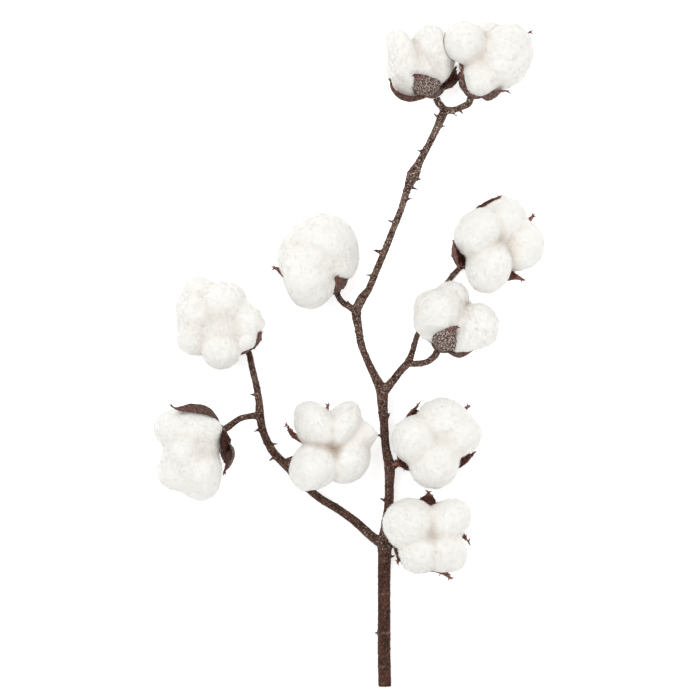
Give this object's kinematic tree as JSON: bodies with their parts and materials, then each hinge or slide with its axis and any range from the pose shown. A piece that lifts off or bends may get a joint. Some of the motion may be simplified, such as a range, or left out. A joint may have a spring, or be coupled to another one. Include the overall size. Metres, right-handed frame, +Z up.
{
  "type": "cotton stem",
  "caption": "Cut branching cotton stem lying down, with open bolls: tufts of white lint held in dry brown pointed burrs.",
  "frame": {"origin": "on the surface that the stem lies on, at the middle of the bounding box's bottom face", "axes": "+Y from the cut end towards the top bolls, along the longest extent; +Z up from the surface, the shortest extent; +X to the right as seen from above"},
  "size_m": [0.2536, 0.4336, 0.0543],
  "materials": {
    "bark": "dry matt bark with pale specks",
    "burr": "dry matt husk, grey-brown outside, reddish inside",
    "lint": "soft fluffy matt fibre"
  },
  "bodies": {
    "root": {"stem": "bark", "boll_a_burr": "burr", "boll_b_burr": "burr", "boll_c_burr": "burr", "boll_d_burr": "burr", "boll_e_burr": "burr", "boll_f_burr": "burr", "boll_g_burr": "burr", "boll_h_burr": "burr", "boll_i_burr": "burr", "boll_j_burr": "burr", "boll_a_lint": "lint", "boll_b_lint": "lint", "boll_c_lint": "lint", "boll_d_lint": "lint", "boll_e_lint": "lint", "boll_f_lint": "lint", "boll_g_lint": "lint", "boll_h_lint": "lint", "boll_i_lint": "lint", "boll_j_lint": "lint"}
  },
  "joints": []
}
